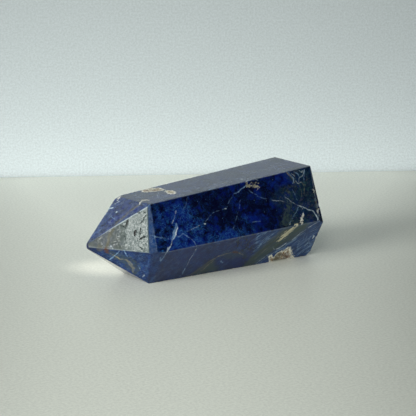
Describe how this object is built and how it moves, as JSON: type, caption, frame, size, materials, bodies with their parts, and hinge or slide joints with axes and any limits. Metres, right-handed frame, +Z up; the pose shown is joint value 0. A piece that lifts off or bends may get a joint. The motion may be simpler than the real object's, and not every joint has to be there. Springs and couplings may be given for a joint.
{
  "type": "polished sodalite point",
  "caption": "Cut and polished sodalite point, a deep blue veined stone bar with a faceted crown, lying on one long flat.",
  "frame": {"origin": "middle of the bounding box at the height of the flat the stone lies on", "axes": "+X along the stone from its tip to its sawn end, +Z up out of the resting flat"},
  "size_m": [0.0684, 0.029, 0.0263],
  "materials": {
    "sodalite": "polished"
  },
  "bodies": {
    "root": {"sodalite_point": "sodalite"}
  },
  "joints": []
}
